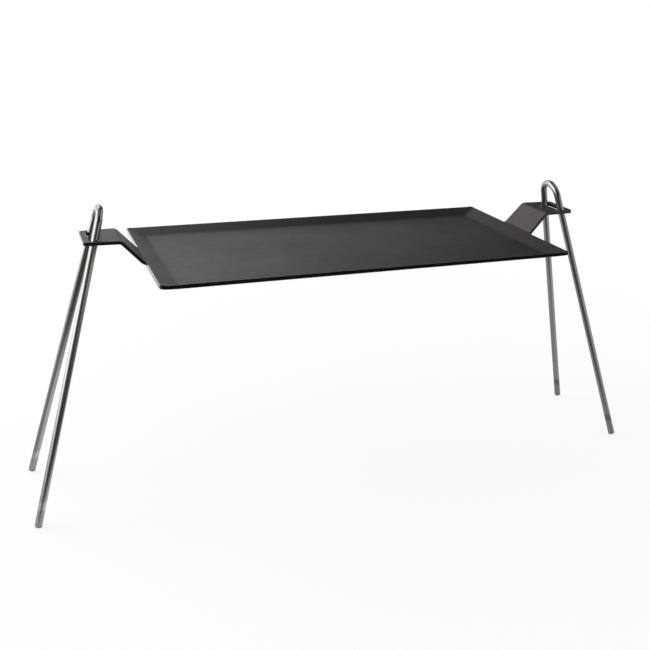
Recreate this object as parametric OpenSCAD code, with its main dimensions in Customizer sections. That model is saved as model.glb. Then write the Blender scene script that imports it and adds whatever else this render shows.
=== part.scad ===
// Camp griddle plate: a pressed sheet-steel pan with a folded ear at each end,
// standing on two hairpin legs that are pushed up through the slots in the ears.
// Millimetres. X runs along the plate, Y from front to back, and Z = 0 is the ground.

/* [Pan] */
// Length over the top of the rim
pan_len = 350; // [260:5:460]
// Depth over the top of the rim, front to back
pan_dep = 180; // [130:5:260]
// Thickness of the sheet
sheet_t = 3; // [2:0.5:4.5]
// Level distance from the fold line to the rim
flange_run = 15; // [10:1:25]
// Slope of the flange above level, in degrees
flange_tilt = 19; // [12:1:30]
// Inside radius of the fold round the base
flange_bend = 13; // [4:1:20]
// Inside radius of the soft crease where two flanges meet at a corner
crease_r = 20; // [8:1:30]
// Corner radius of the rim, seen from above
rim_corner = 3; // [2:0.5:12]

/* [Ears] */
// Height of the top of the ear above the rim
ear_rise = 18; // [14:1:30]
// Slope of the neck between the rim and the ear, in degrees
ear_tilt = 47; // [35:0.5:60]
// Inside radius of the soft fold between the rim and the neck
neck_bend = 5; // [3:0.5:14]
// Inside radius of the tighter fold between the neck and the ear
ear_bend = 3; // [2:0.5:6]
// Level length of the ear, from its fold to its outer end
ear_len = 27; // [20:0.5:40]
// Corner radius at the outer end of the ear
ear_corner = 2.5; // [1.5:0.5:8]
// Angle by which each side of the neck and the ear leans inwards, in degrees
ear_taper = 4; // [0:0.5:8]
// Metal left beyond each end of the slot
slot_wall = 2; // [1.5:0.5:6]
// Metal left between the slot and the outer end of the ear
slot_edge = 5; // [2:0.5:8]
// Gap between the leg and the slot on each side
slot_gap = 0.35; // [0.3:0.05:1]

/* [Legs] */
// Diameter of the rod
rod_d = 6; // [5:0.5:8]
// Distance from the ground to the middle of the loop, along the leg
leg_len = 247; // [180:1:320]
// Radius of the loop at the middle of the rod
loop_r = 12; // [9:0.5:16]
// Distance between the two feet of one leg
foot_spread = 100; // [70:1:140]
// Lean of each leg, feet outwards, in degrees
leg_lean = 15.75; // [5:0.25:20]
// Distance along the leg from the middle of the loop down to the ear
seat_drop = 12.5; // [8:0.5:30]
// Rounding at the cut ends of the rod
foot_round = 1; // [0.5:0.25:1.5]

/* [Hidden] */
$fn = 64;
// How far a curve bites into the flats beside it, so that their faces join cleanly
bite = 0.005;

// Hairpin: each shank runs from its foot to where it meets the loop without a kink
foot_y = foot_spread / 2;
foot_to_loop = norm([foot_y, leg_len]);
splay = atan(foot_y / leg_len) - asin(loop_r / foot_to_loop);
shank_len = sqrt(foot_to_loop * foot_to_loop - loop_r * loop_r);
// Slope of a shank as it stands, and how far its cut end is set back to touch the ground
shank_tilt = acos(cos(splay) * cos(leg_lean));
foot_set = (rod_d / 2 - foot_round) * sin(shank_tilt) + foot_round * (1 - cos(shank_tilt));
foot_cut = foot_set / cos(shank_tilt);

// Where the ear sits on the leg
seat_len = leg_len - seat_drop;
seat_z = seat_len * cos(leg_lean);
seat_y = foot_y - seat_len * tan(splay);

// The slot lets the leaning rod through the thickness of the sheet
slot_w = rod_d / cos(leg_lean) + sheet_t * tan(leg_lean) + 2 * slot_gap;
slot_len = 2 * seat_y + slot_w;

// Heights of the upper faces: ear and rim above the base, base above the ground
flange_rise = flange_run * tan(flange_tilt);
ear_z = flange_rise + ear_rise;
base_z = seat_z + sheet_t / 2 - ear_z;

// Crease at each corner: its slope along the diagonal, and half of the turn across it
crease_tilt = atan(tan(flange_tilt) / sqrt(2));
crease_turn = acos(cos(flange_tilt) * cos(flange_tilt)) / 2;

// Middles of the folds on the right-hand side, as [x, z] above the base
rim_x = pan_len / 2;
ear_bend_out = ear_bend + sheet_t;
neck_fold = [rim_x - neck_bend * sin(flange_tilt), flange_rise + neck_bend * cos(flange_tilt)];
neck_foot = neck_fold + neck_bend * [sin(ear_tilt), -cos(ear_tilt)];
neck_rise = ear_z - neck_foot[1] - ear_bend_out * (1 - cos(ear_tilt));
neck_run = neck_rise / tan(ear_tilt) + ear_bend_out * sin(ear_tilt);
ear_fold = [neck_foot[0] + neck_run, ear_z - ear_bend_out];
ear_end = ear_fold[0] + ear_len;

// Slot in the ear, and the foot of the leg that leans through it
slot_x = ear_end - slot_edge - slot_w / 2;
foot_x = slot_x + seat_len * sin(leg_lean);

// Room above the base for the shapes that cut the sheet
head = ear_z + 2 * (flange_bend + sheet_t);

function flange_fold(half) = [half - flange_run - flange_bend * tan(flange_tilt / 2), flange_bend];
function on_fold(fold, r, tilt) = fold + r * [sin(tilt), -cos(tilt)];
// Half of the width of the neck and the ear, which narrow evenly from the rim to the outer end
function ear_half(x) = slot_len / 2 + slot_wall + (slot_x - x) * tan(ear_taper);
function mirrored(points) = [for (i = [len(points) - 1:-1:0]) [-points[i][0], points[i][1]]];

// Side view of all that lies above one face of the sheet, from a face drop below the upper one
module side_space(half, drop, top) {
    fold = flange_fold(half);
    r = flange_bend + drop;
    flange_foot = on_fold(fold, r, flange_tilt);
    side = [
        on_fold(fold, r, 0),
        flange_foot,
        flange_foot + top * [1 / tan(flange_tilt), 1]
    ];
    polygon(concat(side, mirrored(side)));
    for (s = [-1, 1])
        translate([s * fold[0], fold[1]])
            circle(r + bite);
}

// The same along the pan, where the sheet goes on past the flange into the neck and the ear
module long_space(drop, top) {
    fold = flange_fold(rim_x);
    r = flange_bend + drop;
    neck_r = neck_bend + drop;
    ear_r = ear_bend_out - drop;
    far = ear_end + head;
    side = [
        on_fold(fold, r, 0),
        on_fold(fold, r, flange_tilt),
        on_fold(neck_fold, neck_r, flange_tilt),
        on_fold(neck_fold, neck_r, ear_tilt),
        on_fold(ear_fold, -ear_r, ear_tilt),
        on_fold(ear_fold, -ear_r, 0),
        [far, ear_z - drop],
        [far, top]
    ];
    difference() {
        union() {
            polygon(concat(side, mirrored(side)));
            for (s = [-1, 1]) {
                translate([s * fold[0], fold[1]])
                    circle(r + bite);
                translate([s * neck_fold[0], neck_fold[1]])
                    circle(neck_r + bite);
            }
        }
        for (s = [-1, 1])
            translate([s * ear_fold[0], ear_fold[1]])
                circle(ear_r + bite);
    }
}

// The sharp valley between two flanges that the soft crease fills, seen along the crease
module crease_fill(drop) {
    r = crease_r + drop;
    middle = [0, crease_r / cos(crease_turn)];
    valley = [0, -2 * drop - sheet_t];
    difference() {
        polygon([
            on_fold(middle, r, -crease_turn),
            valley,
            on_fold(middle, r, crease_turn)
        ]);
        translate(middle)
            circle(r + bite);
    }
}

module space_above(drop, top) {
    difference() {
        intersection() {
            rotate([90, 0, 0])
                linear_extrude(2 * pan_dep, center = true)
                    long_space(drop, top);
            rotate([90, 0, 90])
                linear_extrude(4 * pan_len, center = true)
                    side_space(pan_dep / 2, drop, top);
        }
        for (sx = [0, 1], sy = [0, 1])
            mirror([sx, 0, 0])
                mirror([0, sy, 0])
                    translate([rim_x - flange_run, pan_dep / 2 - flange_run, 0])
                        rotate([0, -crease_tilt, 45])
                            rotate([90, 0, 90])
                                linear_extrude(4 * flange_run, center = true)
                                    crease_fill(drop);
    }
}

// Side view of the rim's cut edges, square to the flange
module rim_side(half, low, high) {
    polygon([
        [-half - low * tan(flange_tilt), -low],
        [half + low * tan(flange_tilt), -low],
        [half - high * tan(flange_tilt), high],
        [-half + high * tan(flange_tilt), high]
    ]);
}

// Everything inside the rim: square cut edges with rounded corners
module rim_outline() {
    low = flange_rise + 2 * sheet_t;
    high = sheet_t / 2;
    straight_x = rim_x - rim_corner;
    straight_y = pan_dep / 2 - rim_corner;
    rotate([90, 0, 0])
        linear_extrude(2 * straight_y, center = true)
            rim_side(rim_x, low, high);
    rotate([90, 0, 90])
        linear_extrude(2 * straight_x, center = true)
            rim_side(pan_dep / 2, low, high);
    for (sx = [-1, 1], sy = [-1, 1])
        translate([sx * straight_x, sy * straight_y, -low])
            cylinder(
                h = low + high,
                r1 = rim_corner + low * tan(flange_tilt) + bite,
                r2 = rim_corner - high * tan(flange_tilt) + bite
            );
}

// The ear from above, from well inside the rim to its outer end, with the slot for the leg
module ear_outline() {
    inner = ear_end - rim_x + flange_run;
    corner = [-ear_corner, ear_half(ear_end - ear_corner) - ear_corner / cos(ear_taper)];
    side = [
        [0, corner[1]],
        corner + ear_corner * [sin(ear_taper), cos(ear_taper)],
        [rim_x - ear_end, ear_half(rim_x)],
        [-inner, ear_half(rim_x)]
    ];
    difference() {
        union() {
            polygon(concat(side, [for (i = [len(side) - 1:-1:0]) [side[i][0], -side[i][1]]]));
            for (s = [-1, 1])
                translate([corner[0], s * corner[1]])
                    circle(ear_corner + bite);
        }
        translate([slot_x - ear_end, 0]) {
            square([slot_w, 2 * seat_y], center = true);
            for (s = [-1, 1])
                translate([0, s * seat_y])
                    circle(slot_w / 2 + bite);
        }
    }
}

module sheet_outline() {
    translate([0, 0, flange_rise])
        rim_outline();
    for (s = [0, 1])
        mirror([s, 0, 0])
            translate([ear_end, 0, 0])
                linear_extrude(head)
                    ear_outline();
}

module griddle_plate() {
    color("dimgray")
        translate([0, 0, base_z])
            intersection() {
                difference() {
                    space_above(sheet_t, head);
                    space_above(0, head + sheet_t);
                }
                sheet_outline();
            }
}

// One straight shank hanging from the origin, with the edge of its cut end rounded
module shank(len) {
    rod_r = rod_d / 2;
    flat_r = rod_r - foot_round;
    rotate_extrude() {
        square([rod_r, len - foot_round]);
        translate([0, len - foot_round])
            square([flat_r, foot_round]);
        translate([flat_r, len - foot_round])
            intersection() {
                circle(foot_round);
                square(foot_round);
            }
    }
}

// One half of the hairpin, upright in the YZ plane: a shank and its half of the loop
module half_hairpin() {
    intersection() {
        translate([0, 0, leg_len])
            rotate([90, 0, 90])
                rotate(splay) {
                    rotate_extrude(angle = 100)
                        translate([loop_r, 0])
                            circle(d = rod_d);
                    translate([loop_r, 0, 0])
                        rotate([90, 0, 0])
                            shank(shank_len - foot_cut);
                }
        translate([-rod_d, 0, -rod_d])
            cube([2 * rod_d, foot_spread, leg_len + 2 * loop_r + 2 * rod_d]);
    }
}

module leg() {
    translate([foot_x, 0, 0])
        rotate([0, -leg_lean, 0]) {
            half_hairpin();
            mirror([0, 1, 0])
                half_hairpin();
        }
}

module left_leg() {
    color("silver")
        mirror([1, 0, 0])
            leg();
}

module right_leg() {
    color("silver")
        leg();
}

griddle_plate();
left_leg();
right_leg();
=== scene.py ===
import math

import bmesh
import bpy
from mathutils import Matrix, Vector


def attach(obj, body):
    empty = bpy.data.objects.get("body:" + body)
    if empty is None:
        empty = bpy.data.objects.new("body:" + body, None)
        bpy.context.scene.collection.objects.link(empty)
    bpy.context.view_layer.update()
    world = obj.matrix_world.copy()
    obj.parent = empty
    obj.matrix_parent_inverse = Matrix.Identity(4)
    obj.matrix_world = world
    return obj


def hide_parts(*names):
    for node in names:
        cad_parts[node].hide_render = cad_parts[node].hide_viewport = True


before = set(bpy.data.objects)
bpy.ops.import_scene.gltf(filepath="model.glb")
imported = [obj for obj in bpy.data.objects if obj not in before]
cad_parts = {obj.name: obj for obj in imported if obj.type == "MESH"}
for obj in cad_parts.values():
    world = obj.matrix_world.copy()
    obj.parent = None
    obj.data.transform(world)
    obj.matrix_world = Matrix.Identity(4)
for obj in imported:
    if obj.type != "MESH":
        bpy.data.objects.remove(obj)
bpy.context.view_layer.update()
scene = bpy.context.scene
scene.view_settings.view_transform = "Standard"


# the photograph's own view
shot = {
    "azimuth": -20.9116,
    "elevation": 20.0595,
    "roll": 1.4434,
    "aim": (0.0064241, 0.0, 0.128286),
    "distance": 0.8486915,
    "sensor": 36.0,
    "lens": 51.3849,
    "shiftX": -0.0339,   # the photograph is cropped off its middle
    "clip": (0.01, 100.0),
}


def placeCamera():
    azimuth = math.radians(shot["azimuth"])
    elevation = math.radians(shot["elevation"])
    level = math.cos(elevation)
    back = Vector((math.sin(azimuth) * level, -math.cos(azimuth) * level, math.sin(elevation)))
    right = Vector((math.cos(azimuth), math.sin(azimuth), 0.0))
    right = Matrix.Rotation(math.radians(shot["roll"]), 3, back) @ right
    up = back.cross(right)
    data = bpy.data.cameras.new("shotCamera")
    data.sensor_width = shot["sensor"]
    data.lens = shot["lens"]
    data.shift_x = shot["shiftX"]
    data.clip_start, data.clip_end = shot["clip"]
    camera = bpy.data.objects.new("shotCamera", data)
    scene.collection.objects.link(camera)
    place = Vector(shot["aim"]) + back * shot["distance"]
    axes = Matrix((right, up, back)).transposed().to_4x4()
    camera.matrix_world = Matrix.Translation(place) @ axes
    scene.camera = camera


placeCamera()
print("camera placed")


# small helpers for node trees
bumpDepth = 0.0001   # how high a bump of full strength stands


def addNode(tree, kind, values=None, links=None, **settings):
    node = tree.nodes.new(kind)
    for key, value in settings.items():
        setattr(node, key, value)
    for key, value in (values or {}).items():
        node.inputs[key].default_value = value
    for key, socket in (links or {}).items():
        tree.links.new(socket, node.inputs[key])
    return node


def fillSockets(tree, pairs):
    for socket, value in pairs:
        if isinstance(value, (int, float, tuple)):
            socket.default_value = value
        else:
            tree.links.new(value, socket)


def newTree(name):
    material = bpy.data.materials.new(name)
    material.use_nodes = True
    material.node_tree.nodes.clear()
    return material, material.node_tree


def objectCoords(tree):
    return addNode(tree, "ShaderNodeTexCoord").outputs["Object"]


def splitAxes(tree, coords):
    return addNode(tree, "ShaderNodeSeparateXYZ", links={"Vector": coords}).outputs


def noiseAt(tree, coords, noise, stretch=None):
    # noise gives the scale, the detail and the roughness
    if stretch:
        mapped = addNode(tree, "ShaderNodeMapping", {"Scale": stretch}, {"Vector": coords})
        coords = mapped.outputs["Vector"]
    values = dict(zip(("Scale", "Detail", "Roughness"), noise))
    return addNode(tree, "ShaderNodeTexNoise", values, {"Vector": coords}).outputs["Fac"]


def remap(tree, value, span, result=(0.0, 1.0), kind="LINEAR"):
    values = dict(zip(("From Min", "From Max", "To Min", "To Max"), (*span, *result)))
    node = addNode(tree, "ShaderNodeMapRange", values, {"Value": value}, interpolation_type=kind)
    return node.outputs["Result"]


def ramp(tree, value, span, result=(0.0, 1.0)):
    return remap(tree, value, span, result, "SMOOTHSTEP")


def doMath(tree, operation, first, second=0.0, third=0.0):
    node = addNode(tree, "ShaderNodeMath", operation=operation)
    fillSockets(tree, zip(node.inputs, (first, second, third)))
    return node.outputs[0]


def blendValues(tree, factor, first, second):
    return doMath(tree, "MULTIPLY_ADD", factor, doMath(tree, "SUBTRACT", second, first), first)


def blendColours(tree, factor, first, second, mode="MIX"):
    node = addNode(tree, "ShaderNodeMix", data_type="RGBA", blend_type=mode)
    # the factor and the two colours, among the sockets for other kinds of data
    sockets = [node.inputs[i] for i in (0, 6, 7)]
    fillSockets(tree, zip(sockets, (factor, first, second)))
    return node.outputs[2]


def addBump(tree, height, strength):
    values = {"Strength": strength, "Distance": bumpDepth}
    return addNode(tree, "ShaderNodeBump", values, {"Height": height}).outputs["Normal"]


def showSurface(tree, shader):
    addNode(tree, "ShaderNodeOutputMaterial", links={"Surface": shader})


# the plate is one sheet: drawn flat, bent, thickened, and its cut edges broken
plate = {
    "rimX": 0.175,
    "rimY": 0.090,
    "sheet": 0.003,
    "baseZ": 0.2040308,
    "flangeRun": 0.015,
    "flangeTilt": 19.0,
    "flangeBend": 0.013,
    "creaseBlend": 0.00224,   # height over which two flanges run into each other at a corner
    "rimCorner": 0.003,
    "neckTilt": 47.0,
    "neckBend": 0.005,
    "earBend": 0.003,
    "earRise": 0.018,
    "earEnd": 0.2221944,
    "earHalf": 0.0199462,     # half of the ear's width at the slot
    "earTaper": 4.0,
    "earCorner": 0.0025,
    "slotX": 0.2133043,
    "slotWidth": 0.0077801,
    "slotLength": 0.0358924,
    "edgeRound": 0.00035,
    "rimSteps": 8,            # steps round each rounding
    "earSteps": 6,
    "slotSteps": 32,
    "edgeSteps": 3,
    "bendCuts": 7,            # strips across each bend and flange
    "flangeCuts": 8,
    "earCuts": 6,
    "cutSnap": 0.00004,       # a cut this close to a point goes through it
    "edgeSlope": 0.5,         # a face that looks up or down less than this is a cut edge
    "cornerSlope": 0.1,       # a broken edge that looks up more than this is worn
    "faceWeight": 80,
    "tiny": 1e-6,
}
skinSlot, edgeSlot, cornerSlot = range(3)   # the plate's three materials
flangeAngle = math.radians(plate["flangeTilt"])
neckAngle = math.radians(plate["neckTilt"])
earLean = math.tan(math.radians(plate["earTaper"]))
# where the flange's bend starts and ends, from its fold line
bendStart = -plate["flangeBend"] * math.tan(flangeAngle / 2)
bendEnd = bendStart + plate["flangeBend"] * math.sin(flangeAngle)


def foldHeight(past):
    # height of the flange, a distance past its fold line
    bend = plate["flangeBend"]
    if past <= bendStart:
        return 0.0
    if past <= bendEnd:
        return bend - math.sqrt(bend * bend - (past - bendStart) ** 2)
    return past * math.tan(flangeAngle)


def findEarBends():
    # as x and height: the centres of the ear's two bends, and the ends of the straight neck
    inner = plate["neckBend"]
    outer = plate["earBend"] + plate["sheet"]
    sine, cosine = math.sin(neckAngle), math.cos(neckAngle)
    rise = plate["flangeRun"] * math.tan(flangeAngle)
    top = rise + plate["earRise"]
    neckFoldX = plate["rimX"] - inner * math.sin(flangeAngle)
    neckFold = Vector((neckFoldX, rise + inner * math.cos(flangeAngle)))
    neckFoot = neckFold + inner * Vector((sine, -cosine))
    climb = top - neckFoot.y - outer * (1 - cosine)
    earFoldX = neckFoot.x + climb / math.tan(neckAngle) + outer * sine
    earFold = Vector((earFoldX, top - outer))
    neckHead = earFold + outer * Vector((-sine, cosine))
    return {
        "inner": inner,
        "outer": outer,
        "top": top,
        "neckFold": neckFold,
        "neckFoot": neckFoot,
        "neckHead": neckHead,
        "earFold": earFold,
    }


ear = findEarBends()


def earHeight(x):
    neckFold, neckFoot, earFold = ear["neckFold"], ear["neckFoot"], ear["earFold"]
    if x >= earFold.x:
        return ear["top"]
    if x >= ear["neckHead"].x:
        return earFold.y + math.sqrt(ear["outer"] ** 2 - (earFold.x - x) ** 2)
    if x >= neckFoot.x:
        return neckFoot.y + (x - neckFoot.x) * math.tan(neckAngle)
    return neckFold.y - math.sqrt(ear["inner"] ** 2 - (x - neckFold.x) ** 2)


def sheetHeight(x, y):
    x, y = abs(x), abs(y)
    if x > plate["rimX"] + plate["tiny"]:
        return earHeight(x)
    alongX = foldHeight(x - plate["rimX"] + plate["flangeRun"])
    alongY = foldHeight(y - plate["rimY"] + plate["flangeRun"])
    top = max(alongX, alongY)
    if top == 0.0:
        return top
    reach = min(plate["creaseBlend"], top)
    return top + max(0.0, reach - abs(alongX - alongY)) ** 2 / (4 * reach)


def earHalfAt(x):
    return plate["earHalf"] + (plate["slotX"] - x) * earLean


def spread(start, end, count):
    return [start + (end - start) * i / count for i in range(count + 1)]


def roundTips(bm, axis, reach, radius, steps):
    tips = [v for v in bm.verts if abs(abs(v.co[axis]) - reach) < plate["tiny"]]
    bmesh.ops.bevel(
        bm, geom=tips, offset=radius, segments=steps,
        profile=0.5, affect="VERTICES", material=-1,
    )


def drawOutline(bm):
    rimX, rimY, earEnd = plate["rimX"], plate["rimY"], plate["earEnd"]
    corner = [(rimX, rimY), (rimX, earHalfAt(rimX)), (earEnd, earHalfAt(earEnd))]
    rightSide = [(x, -y) for x, y in corner] + corner[::-1]
    outline = rightSide + [(-x, -y) for x, y in rightSide]
    bm.faces.new([bm.verts.new((x, y, 0.0)) for x, y in outline])
    roundTips(bm, 1, rimY, plate["rimCorner"], plate["rimSteps"])
    roundTips(bm, 0, earEnd, plate["earCorner"], plate["earSteps"])


def cutAlong(bm, axis, places):
    normal = Vector((0.0, 0.0, 0.0))
    normal[axis] = 1.0
    for place in places:
        for side in (-1, 1):
            bmesh.ops.bisect_plane(
                bm, geom=bm.verts[:] + bm.edges[:] + bm.faces[:], dist=plate["cutSnap"],
                plane_co=normal * place * side, plane_no=normal,
            )


def cutBends(bm):
    # cuts where the sheet bends, closer together in the bends
    rimX, rimY, run = plate["rimX"], plate["rimY"], plate["flangeRun"]
    steps = spread(bendStart, bendEnd, plate["bendCuts"])
    steps += spread(bendEnd, run, plate["flangeCuts"])[1:-1]
    cutAlong(bm, 0, [rimX - run + step for step in steps] + [rimX])
    cutAlong(bm, 1, [rimY - run + step for step in steps] + [earHalfAt(rimX)])
    foot, head, fold = ear["neckFoot"].x, ear["neckHead"].x, ear["earFold"].x
    cutAlong(bm, 0, spread(rimX, foot, plate["earCuts"])[1:])
    cutAlong(bm, 0, [0.5 * (foot + head)] + spread(head, fold, plate["earCuts"]))


def addSlot(bm, side):
    # the flat of the ear is filled again round a long hole with round ends
    flat = [f for f in bm.faces if side * f.calc_center_median().x > ear["earFold"].x]
    edges = dict.fromkeys(e for f in flat for e in f.edges)   # each once, always in one order
    rim = [e for e in edges if sum(f in flat for f in e.link_faces) == 1]
    bmesh.ops.delete(bm, geom=flat, context="FACES_ONLY")
    half = plate["slotWidth"] / 2
    middle = plate["slotLength"] / 2 - half
    circle = bmesh.ops.create_circle(bm, cap_ends=False, segments=plate["slotSteps"], radius=half)
    hole = circle["verts"]
    for v in hole:
        if abs(v.co.y) > plate["tiny"]:
            v.co.y += math.copysign(middle, v.co.y)
        v.co.x += side * plate["slotX"]
    loop = list(dict.fromkeys(e for v in hole for e in v.link_edges))
    bmesh.ops.triangle_fill(bm, use_beauty=True, use_dissolve=False, edges=rim + loop)


def thickenSheet(bm):
    bmesh.ops.recalc_face_normals(bm, faces=bm.faces)
    if sum(f.normal.z for f in bm.faces) < 0:
        bmesh.ops.reverse_faces(bm, faces=bm.faces)
    bmesh.ops.solidify(bm, geom=bm.faces[:], thickness=plate["sheet"])
    bm.normal_update()
    for f in bm.faces:
        f.material_index = edgeSlot if abs(f.normal.z) < plate["edgeSlope"] else skinSlot


def breakEdges(bm):
    corners = [e for e in bm.edges if len({f.material_index for f in e.link_faces}) == 2]
    rounded = bmesh.ops.bevel(
        bm, geom=corners, offset=plate["edgeRound"], segments=plate["edgeSteps"],
        profile=0.5, affect="EDGES", material=-1, clamp_overlap=False,
    )
    bm.normal_update()
    for f in rounded["faces"]:
        f.material_index = cornerSlot if f.normal.z > plate["cornerSlope"] else edgeSlot
    for f in bm.faces:
        f.smooth = True


def buildPlate():
    bm = bmesh.new()
    drawOutline(bm)
    cutBends(bm)
    for side in (-1, 1):
        addSlot(bm, side)
    for v in bm.verts:
        v.co.z = plate["baseZ"] + sheetHeight(v.co.x, v.co.y)
    thickenSheet(bm)
    breakEdges(bm)
    mesh = bpy.data.meshes.new("griddlePan")
    bm.to_mesh(mesh)
    openEdges = sum(not e.is_manifold for e in bm.edges)
    print("plate:", len(bm.verts), "corners,", len(bm.faces), "faces, open edges", openEdges)
    bm.free()
    piece = bpy.data.objects.new("griddlePan", mesh)
    scene.collection.objects.link(piece)
    weighted = piece.modifiers.new("flatShading", "WEIGHTED_NORMAL")
    weighted.weight = plate["faceWeight"]
    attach(piece, "plate")
    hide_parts("griddle_plate")
    return piece


pan = buildPlate()


# dark oxide skin of the sheet, rubbed a little lighter along its edges
panFinish = {
    "dark": (0.0162, 0.0152, 0.0147, 1.0),
    "light": (0.0212, 0.0199, 0.0193, 1.0),
    "worn": (0.040, 0.038, 0.0365, 1.0),
    "rough": (0.44, 0.36),            # on the dark and on the light patina
    "gloss": 0.5,
    "cloud": (14.0, 4.0, 0.5),
    "mottle": (150.0, 4.0, 0.6),
    "mottleShare": 0.4,
    "patinaSpan": (0.35, 0.65),
    "grain": (2600.0, 2.0, 0.5),
    "rolled": (700.0, 3.0, 0.6),      # streaks from the rolls, along the plate
    "rolledStretch": (0.04, 1.0, 1.0),
    "rolledShare": 0.4,
    "bump": 0.08,
    "wornWidth": 0.0012,
    "wornSpan": (0.38, 0.62),
    "wornShare": (0.15, 1.0),
    "plain": (1.0, 1.0, 1.0, 1.0),
    "warmTint": (1.0, 0.945, 0.93, 1.0),   # reflections turn warmer towards the right-hand end
    "warmSpan": (0.05, 0.22),
    "warmWander": 0.06,
}


def edgeDistance(tree, axes):
    # how far a point of the sheet lies inside the rim or the ear
    x, y = (doMath(tree, "ABSOLUTE", axes[name]) for name in "XY")
    half = doMath(tree, "MULTIPLY_ADD", x, -earLean, earHalfAt(0.0))
    inside = []
    for endX, sideY in ((plate["rimX"], plate["rimY"]), (plate["earEnd"], half)):
        left = [doMath(tree, "SUBTRACT", edge, place) for edge, place in ((endX, x), (sideY, y))]
        inside.append(doMath(tree, "MINIMUM", *left))
    return doMath(tree, "MAXIMUM", *inside)


def seasonedSteel():
    material, tree = newTree("seasonedSteel")
    coords = objectCoords(tree)
    axes = splitAxes(tree, coords)
    cloud, mottle, grain = (
        noiseAt(tree, coords, panFinish[name]) for name in ("cloud", "mottle", "grain")
    )
    rolled = noiseAt(tree, coords, panFinish["rolled"], panFinish["rolledStretch"])
    patina = blendValues(tree, panFinish["mottleShare"], cloud, mottle)
    tone = remap(tree, patina, panFinish["patinaSpan"])
    colour = blendColours(tree, tone, panFinish["dark"], panFinish["light"])
    rubbed = remap(tree, edgeDistance(tree, axes), (0.0, panFinish["wornWidth"]), (1.0, 0.0))
    patchy = remap(tree, mottle, panFinish["wornSpan"], panFinish["wornShare"])
    rubbed = doMath(tree, "MULTIPLY", rubbed, patchy)
    height = blendValues(tree, panFinish["rolledShare"], grain, rolled)
    # the reflections are tinted warmer towards the right-hand end
    warmth = doMath(tree, "MULTIPLY_ADD", cloud, panFinish["warmWander"], axes["X"])
    warmth = ramp(tree, warmth, panFinish["warmSpan"])
    links = {
        "Base Color": blendColours(tree, rubbed, colour, panFinish["worn"]),
        "Specular Tint": blendColours(tree, warmth, panFinish["plain"], panFinish["warmTint"]),
        "Roughness": remap(tree, patina, panFinish["patinaSpan"], panFinish["rough"]),
        "Normal": addBump(tree, height, panFinish["bump"]),
    }
    values = {"Specular IOR Level": panFinish["gloss"]}
    shader = addNode(tree, "ShaderNodeBsdfPrincipled", values, links)
    showSurface(tree, shader.outputs["BSDF"])
    return material


# the cut edges are blackened too, smoother than the faces and worn thin along their upper corner;
# the rim's rounded corners are kept dark with painted shade
edgeFinish = {
    "dark": (0.0040, 0.0039, 0.0038, 1.0),
    "light": (0.0080, 0.0078, 0.0076, 1.0),
    "bare": (0.30, 0.295, 0.285, 1.0),
    "rough": (0.05, 0.12),
    "gloss": 0.5,
    "shadedCornerGloss": 0.06,
    "shadedCornerReach": (0.0045, 0.00225),   # painted shade: the rim's corners reflect less between these distances from the rim
    "lines": (1500.0, 3.0, 0.6),        # left by the shears
    "linesStretch": (1.0, 1.0, 0.12),
    "linesSpan": (0.3, 0.7),
    "patch": (180.0, 3.0, 0.6),
    "patchSpan": (0.35, 0.7),
    "wornSpan": (0.38, 0.58),
    "wornShare": (0.15, 0.5),
    "bump": 0.06,
}


def shadedRimCorners(tree, axes):
    # 1 on the rounded corners of the rim, which get a painted shade: less reflection and no bare
    # wear
    sides = []
    for name, rim in (("X", plate["rimX"]), ("Y", plate["rimY"])):
        place = doMath(tree, "ABSOLUTE", axes[name])
        sides.append(ramp(tree, place, [rim - reach for reach in edgeFinish["shadedCornerReach"]]))
    return doMath(tree, "MULTIPLY", *sides)


def blackEdge(name, isWorn):
    material, tree = newTree(name)
    coords = objectCoords(tree)
    lines = noiseAt(tree, coords, edgeFinish["lines"], edgeFinish["linesStretch"])
    patch = noiseAt(tree, coords, edgeFinish["patch"])
    corner = shadedRimCorners(tree, splitAxes(tree, coords))
    # painted shade: the rim's rounded corners reflect less
    glosses = (edgeFinish["gloss"], edgeFinish["shadedCornerGloss"])
    tone = remap(tree, patch, edgeFinish["patchSpan"])
    colour = blendColours(tree, tone, edgeFinish["dark"], edgeFinish["light"])
    links = {
        "Base Color": colour,
        "Specular IOR Level": remap(tree, corner, (0.0, 1.0), glosses),
        "Roughness": remap(tree, lines, edgeFinish["linesSpan"], edgeFinish["rough"]),
        "Normal": addBump(tree, lines, edgeFinish["bump"]),
    }
    if isWorn:
        worn = remap(tree, patch, edgeFinish["wornSpan"], edgeFinish["wornShare"])
        # painted shade: no bare wear on the rim's rounded corners
        worn = doMath(tree, "MULTIPLY", worn, doMath(tree, "SUBTRACT", 1.0, corner))
        links["Base Color"] = blendColours(tree, worn, colour, edgeFinish["bare"])
        links["Metallic"] = worn
    shader = addNode(tree, "ShaderNodeBsdfPrincipled", links=links)
    showSurface(tree, shader.outputs["BSDF"])
    return material


# in the order of skinSlot, edgeSlot and cornerSlot
pan.data.materials.append(seasonedSteel())
pan.data.materials.append(blackEdge("cutEdge", False))
pan.data.materials.append(blackEdge("wornCorner", True))
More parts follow.
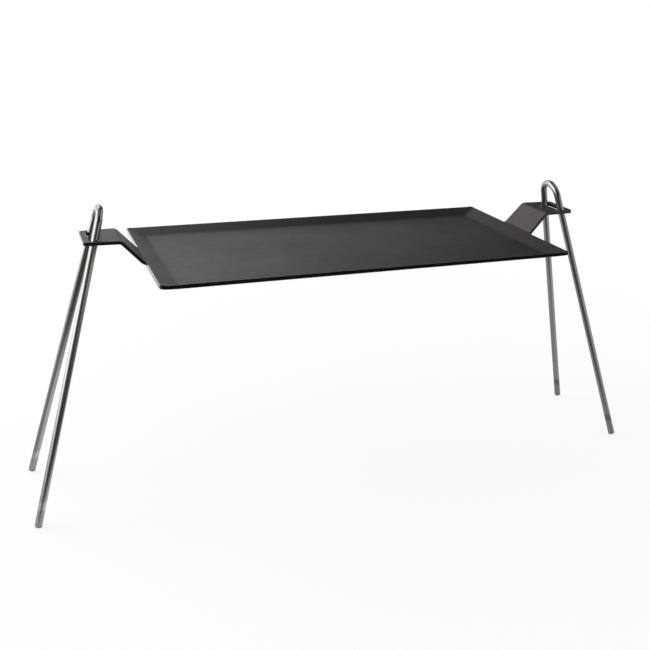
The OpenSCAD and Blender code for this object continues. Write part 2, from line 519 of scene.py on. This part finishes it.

# drawn rod: streaks run along the shanks, and the feet are duller, below a ring that is lighter on
# the left leg and darker on the right leg; the cut end carries a painted shadow where it meets the
# floor
rodFinish = {
    "footX": 0.276957,
    "footY": 0.050,
    "leanRun": 0.282029,      # how far a shank moves inwards along x per metre of height
    "splayRun": 0.159266,     # and along y
    "bright": (0.50, 0.497, 0.49, 1.0),
    "dull": (0.42, 0.418, 0.424, 1.0),
    "dullSpan": (0.15, 0.02),           # heights between which the rod gets dull
    "dullShare": 0.7,
    "rough": (0.17, 0.34),              # where bright and where dull
    "ringLeft": (0.66, 0.655, 0.665, 1.0),
    "ringRight": (0.22, 0.21, 0.212, 1.0),
    "sideSpan": (-0.05, 0.05),          # from the left leg to the right one
    "ringTop": 0.0225,
    "ringFade": 0.0015,
    "ringShare": 0.8,
    "foot": (0.41, 0.408, 0.406, 1.0),
    "footTop": 0.0155,
    "footFade": 0.0012,
    "footShare": 0.85,
    "shadedTip": (0.08, 0.078, 0.076, 1.0),   # painted shadow where the cut end meets the floor
    "shadedTipTop": 0.0030,
    "shadedTipFade": 0.0018,
    "shadedTipShare": 0.8,
    "drawn": (1100.0, 3.0, 0.55),
    "drawnSqueeze": 0.006,              # makes the streaks long
    "drawnSpan": (0.3, 0.7),
    "streak": (0.84, 1.12),
    "bump": 0.10,
    "blotch": (70.0, 4.0, 0.6),
    "blotchSpan": (0.35, 0.7),
    "blotchShare": 0.3,
    "blotchWander": 0.006,              # moves the ends of the ring and the foot up and down
    "ragged": (260.0, 3.0, 0.6),
    "raggedWander": 0.005,
    "fine": (1600.0, 2.0, 0.5),
    "fineSpan": (0.3, 0.7),
    "fineRough": (-0.03, 0.04),
}


def alongShank(tree, axes):
    # across the rod, a place that stays the same all the way along the shank
    across = {"Z": doMath(tree, "MULTIPLY", axes["Z"], rodFinish["drawnSqueeze"])}
    for name, run, foot in (("X", "leanRun", "footX"), ("Y", "splayRun", "footY")):
        moved = doMath(tree, "MULTIPLY_ADD", axes["Z"], rodFinish[run], -rodFinish[foot])
        across[name] = doMath(tree, "ADD", doMath(tree, "ABSOLUTE", axes[name]), moved)
    return addNode(tree, "ShaderNodeCombineXYZ", links=across).outputs["Vector"]


def bandBelow(tree, height, name):
    # fades in below the top of the ring, the foot or the painted shadow at the tip
    top = rodFinish[name + "Top"]
    span = (top, top - rodFinish[name + "Fade"])
    return remap(tree, height, span, (0.0, rodFinish[name + "Share"]))


def drawnRod():
    material, tree = newTree("drawnRod")
    coords = objectCoords(tree)
    axes = splitAxes(tree, coords)
    drawn = noiseAt(tree, alongShank(tree, axes), rodFinish["drawn"])
    blotch, ragged, fine = (
        noiseAt(tree, coords, rodFinish[name]) for name in ("blotch", "ragged", "fine")
    )
    low = ramp(tree, axes["Z"], rodFinish["dullSpan"])
    tarnish = remap(tree, blotch, rodFinish["blotchSpan"], (0.0, rodFinish["blotchShare"]))
    dullness = doMath(tree, "MULTIPLY_ADD", low, rodFinish["dullShare"], tarnish)
    dullness = doMath(tree, "MINIMUM", dullness, 1.0)
    colour = blendColours(tree, dullness, rodFinish["bright"], rodFinish["dull"])
    # the ring and the foot end in a ragged line
    middle = 0.5 * (rodFinish["blotchWander"] + rodFinish["raggedWander"])
    wander = doMath(tree, "SUBTRACT", axes["Z"], middle)
    wander = doMath(tree, "MULTIPLY_ADD", blotch, rodFinish["blotchWander"], wander)
    wander = doMath(tree, "MULTIPLY_ADD", ragged, rodFinish["raggedWander"], wander)
    # the ring is lighter on the left leg and darker on the right leg
    side = remap(tree, axes["X"], rodFinish["sideSpan"])
    ringTone = blendColours(tree, side, rodFinish["ringLeft"], rodFinish["ringRight"])
    colour = blendColours(tree, bandBelow(tree, wander, "ring"), colour, ringTone)
    colour = blendColours(tree, bandBelow(tree, wander, "foot"), colour, rodFinish["foot"])
    # painted shadow: the lowest millimetres of each rod darken where the cut end meets the floor
    colour = blendColours(tree, bandBelow(tree, axes["Z"], "shadedTip"), colour, rodFinish["shadedTip"])
    streak = remap(tree, drawn, rodFinish["drawnSpan"], rodFinish["streak"])
    links = {channel: streak for channel in ("Red", "Green", "Blue")}
    grey = addNode(tree, "ShaderNodeCombineColor", links=links).outputs["Color"]
    rough = remap(tree, dullness, (0.0, 1.0), rodFinish["rough"])
    uneven = remap(tree, fine, rodFinish["fineSpan"], rodFinish["fineRough"])
    links = {
        "Base Color": blendColours(tree, 1.0, colour, grey, "MULTIPLY"),
        "Roughness": doMath(tree, "ADD", rough, uneven),
        "Normal": addBump(tree, drawn, rodFinish["bump"]),
    }
    shader = addNode(tree, "ShaderNodeBsdfPrincipled", {"Metallic": 1.0}, links)
    showSurface(tree, shader.outputs["BSDF"])
    return material


rodSteel = drawnRod()
for name in ("left_leg", "right_leg"):
    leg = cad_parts[name]
    leg.material_slots[0].material = rodSteel
print("finishes made")


# white floor, one soft box from the left, and boards that only the reflections show
studio = {
    "floorSize": (6.0, 6.0),
    "floorColour": (0.95, 0.95, 0.95, 1.0),
    "shadowKeep": 0.16,           # how much of the floor's own shading shows
    "shadowReach": (0.3, 0.8),    # distances between which that fades out
    "white": (1.0, 1.0, 1.0, 1.0),
    "worldLevel": 0.67,
    "keyPlace": (-1.5, 0.9, 1.25),
    "keyAim": (0.0, 0.0, 0.15),
    "keySize": 2.0,
    "keyPower": 30.0,
}
# how bright the boards are, and their parts
boards = {
    "frontLeft": 0.06,
    "front": 0.10,
    "frontRight": 0.55,
    "under": 0.42,
    "byLeg": 0.85,
    "byRightLeg": 0.55,
    "floorLeft": 0.30,
    "leftBehind": 0.75,
    "farLeft": 1.5,
    "left": 2.1,
    "lamp": 3.0,
    "right": 0.50,
    "behind": 0.75,
    "cameraLeft": 0.22,
    "camera": 0.025,
    "cameraRight": 0.45,
    "ceiling": 0.25,
    "ceilingRight": 0.06,
    "backLeft": 0.87,
    "backRight": 0.14,
    "topLeft": 1.6,
    "topRight": 0.0,
}
# where one part of a board runs into the next, along x, y or z
spans = {
    "frontY": (-0.12, 0.04),
    "frontCurve": 0.3,            # the dark front reaches further back in the middle
    "frontLeftX": (-0.15, 0.10),
    "frontRightX": (0.17, 0.40),
    "byLegX": (-0.20, -0.10),
    "byRightLegX": (0.20, 0.32),
    "floorLeftX": (-0.23, -0.33),
    "leftBehindY": (0.10, 0.28),
    "farLeftY": (0.7, 1.8),
    "behindY": (0.15, 0.45),
    "cameraLeftX": (-1.3, -0.55),
    "cameraRightX": (0.3, 1.0),
    "cameraRightZ": (0.35, 0.60),
    "ceilingX": (-0.3, 1.2),
    "backX": (-0.3, 1.5),
    "topX": (-0.3, 0.82),
    "topZ": (0.7, 1.7),
}


def backgroundRays(tree):
    rays = addNode(tree, "ShaderNodeLightPath").outputs
    seen = doMath(tree, "MAXIMUM", rays["Is Camera Ray"], rays["Is Glossy Ray"])
    return doMath(tree, "MAXIMUM", seen, rays["Is Transmission Ray"])


def addSheet(name, size, place, tilt=0.0, turn=0.0):
    bm = bmesh.new()
    bmesh.ops.create_grid(bm, x_segments=1, y_segments=1, size=0.5)   # one metre square
    spot = Matrix.Translation(place) @ Matrix.Rotation(turn, 4, "Z") @ Matrix.Rotation(tilt, 4, "X")
    bmesh.ops.transform(bm, matrix=spot @ Matrix.Diagonal((*size, 1.0, 1.0)), verts=bm.verts)
    mesh = bpy.data.meshes.new(name)
    bm.to_mesh(mesh)
    bm.free()
    sheet = bpy.data.objects.new(name, mesh)
    scene.collection.objects.link(sheet)
    return sheet


def floorPaper():
    material, tree = newTree("floorPaper")
    links = {0: objectCoords(tree)}
    reach = addNode(tree, "ShaderNodeVectorMath", links=links, operation="LENGTH").outputs["Value"]
    fade = ramp(tree, reach, studio["shadowReach"], (1.0 - studio["shadowKeep"], 1.0))
    fade = doMath(tree, "MULTIPLY", fade, backgroundRays(tree))
    paper = addNode(tree, "ShaderNodeBsdfDiffuse", {"Color": studio["floorColour"]})
    white = addNode(tree, "ShaderNodeEmission", {"Strength": 1.0})
    links = {0: fade, 1: paper.outputs["BSDF"], 2: white.outputs["Emission"]}
    mixed = addNode(tree, "ShaderNodeMixShader", links=links)
    showSurface(tree, mixed.outputs["Shader"])
    return material


def floorShade(tree, axes):
    # bright behind, dim under the plate and on the left, dark towards the camera
    x, y = axes["X"], axes["Y"]
    left = ramp(tree, y, spans["leftBehindY"], (boards["floorLeft"], boards["leftBehind"]))
    far = ramp(tree, y, spans["farLeftY"], (0.0, boards["farLeft"]))
    left = doMath(tree, "ADD", left, far)
    under = ramp(tree, x, spans["byLegX"], (boards["byLeg"], boards["under"]))
    right = ramp(tree, x, spans["byRightLegX"], (0.0, boards["byRightLeg"]))
    behind = ramp(tree, y, spans["behindY"], (0.0, boards["behind"]))
    side = doMath(tree, "MAXIMUM", doMath(tree, "MAXIMUM", under, right), behind)
    side = blendValues(tree, ramp(tree, x, spans["floorLeftX"]), side, left)
    front = ramp(tree, x, spans["frontLeftX"], (boards["frontLeft"], boards["front"]))
    frontRight = ramp(tree, x, spans["frontRightX"], (0.0, boards["frontRight"]))
    front = doMath(tree, "MAXIMUM", front, frontRight)
    near = doMath(tree, "MULTIPLY_ADD", doMath(tree, "ABSOLUTE", x), spans["frontCurve"], y)
    return blendValues(tree, ramp(tree, near, spans["frontY"]), front, side)


def cameraShade(tree, axes):
    # dark in the middle, lighter on the left and low on the right
    x, z = axes["X"], axes["Z"]
    left = ramp(tree, x, spans["cameraLeftX"], (boards["cameraLeft"], boards["camera"]))
    right = ramp(tree, x, spans["cameraRightX"], (0.0, boards["cameraRight"]))
    low = ramp(tree, z, spans["cameraRightZ"], (1.0, 0.0))
    return doMath(tree, "MAXIMUM", left, doMath(tree, "MULTIPLY", right, low))


def backShade(tree, axes):
    x, z = axes["X"], axes["Z"]
    low = remap(tree, x, spans["backX"], (boards["backLeft"], boards["backRight"]))
    high = remap(tree, x, spans["topX"], (boards["topLeft"], boards["topRight"]))
    return blendValues(tree, ramp(tree, z, spans["topZ"]), low, high)


def ceilingShade(tree, axes):
    return ramp(tree, axes["X"], spans["ceilingX"], (boards["ceiling"], boards["ceilingRight"]))


# each board's shade or brightness, its size and place, and how it is tilted and turned
upright = math.pi / 2
boardPlaces = {
    "floorBoard": (floorShade, (5.0, 3.9), (0.0, 0.0, 0.002), 0.0, 0.0),
    "cameraBoard": (cameraShade, (5.4, 3.2), (0.0, -1.9, 1.6), upright, 0.0),
    "ceilingBoard": (ceilingShade, (4.8, 3.8), (0.3, 0.0, 3.2), 0.0, 0.0),
    "backBoard": (backShade, (8.0, 7.0), (3.0, 2.0, 3.5), upright, 0.0),
    "leftBoard": (boards["left"], (2.4, 1.9), (-2.4, 0.2, 0.95), upright, upright),
    "lampBoard": (boards["lamp"], (0.7, 0.7), studio["keyPlace"], 1.035, -2.11),
    "rightBoard": (boards["right"], (4.0, 3.0), (2.4, -0.1, 1.5), upright, upright),
}


def boardPaint(name, shade):
    material, tree = newTree(name)
    level = shade(tree, splitAxes(tree, objectCoords(tree))) if callable(shade) else shade
    paint = addNode(tree, "ShaderNodeEmission")
    fillSockets(tree, [(paint.inputs["Strength"], level)])
    showSurface(tree, paint.outputs["Emission"])
    return material


def addBoard(name, shade, size, place, tilt, turn):
    board = addSheet(name, size, place, tilt, turn)
    board.data.materials.append(boardPaint(name, shade))
    board.visible_camera = False
    board.visible_diffuse = False
    board.visible_shadow = False
    board.visible_transmission = False


def lightWorld():
    world = bpy.data.worlds.new("studioWorld")
    scene.world = world
    world.use_nodes = True
    tree = world.node_tree
    tree.nodes.clear()
    links = {0: backgroundRays(tree)}
    for socket, strength in ((1, studio["worldLevel"]), (2, 1.0)):
        values = {"Color": studio["white"], "Strength": strength}
        links[socket] = addNode(tree, "ShaderNodeBackground", values).outputs["Background"]
    mixed = addNode(tree, "ShaderNodeMixShader", links=links)
    addNode(tree, "ShaderNodeOutputWorld", links={"Surface": mixed.outputs["Shader"]})


def hangKeyLight():
    data = bpy.data.lights.new("keyLight", "AREA")
    data.shape = "SQUARE"
    data.size = studio["keySize"]
    data.energy = studio["keyPower"]
    key = bpy.data.objects.new("keyLight", data)
    scene.collection.objects.link(key)
    key.location = studio["keyPlace"]
    key.visible_glossy = False
    aim = Vector(studio["keyAim"]) - key.location
    key.rotation_euler = aim.to_track_quat("-Z", "Y").to_euler()


def buildStudio():
    floor = addSheet("floor", studio["floorSize"], (0.0, 0.0, 0.0))
    floor.data.materials.append(floorPaper())
    for name, settings in boardPlaces.items():
        addBoard(name, *settings)
    lightWorld()
    hangKeyLight()


buildStudio()
print("studio lit")
